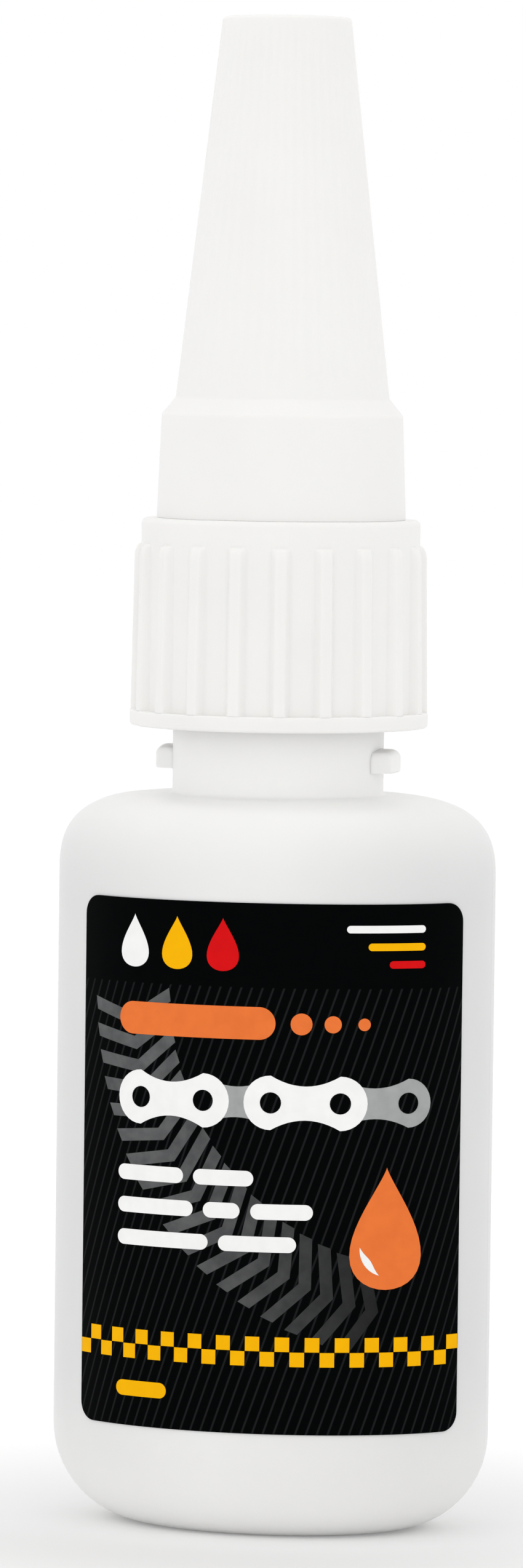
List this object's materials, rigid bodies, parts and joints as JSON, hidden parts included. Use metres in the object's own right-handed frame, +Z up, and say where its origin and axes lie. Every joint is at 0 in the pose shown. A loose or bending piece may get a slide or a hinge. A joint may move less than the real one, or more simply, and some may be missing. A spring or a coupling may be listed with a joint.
{
  "type": "chain lube bottle",
  "caption": "Small oval squeeze bottle for chain oil with a film label on its front, a ribbed screw-on dropper nozzle and a tall tapered cap over the spout.",
  "frame": {"origin": "centre of the bottle's base, on the surface it stands on", "axes": "+Z up along the neck, -Y out of the labelled front, +X to the right of the front"},
  "size_m": [0.0331, 0.0231, 0.1121],
  "materials": {
    "bottle_plastic": "milky natural polyethylene, satin",
    "label_film": "printed film, smooth",
    "nozzle_plastic": "milky natural polyethylene, satin",
    "cap_plastic": "milky natural polyethylene, satin"
  },
  "bodies": {
    "bottle": {"bottle": "bottle_plastic", "label": "label_film"},
    "nozzle": {"nozzle": "nozzle_plastic"},
    "cap": {"cap": "cap_plastic"}
  },
  "joints": [
    {"name": "nozzle_lift", "type": "slide", "parent": "bottle", "child": "nozzle", "axis": [0, 0, 1], "range_m": [0, 0.02]},
    {"name": "cap_lift", "type": "slide", "parent": "nozzle", "child": "cap", "axis": [0, 0, 1], "range_m": [0, 0.04]}
  ]
}
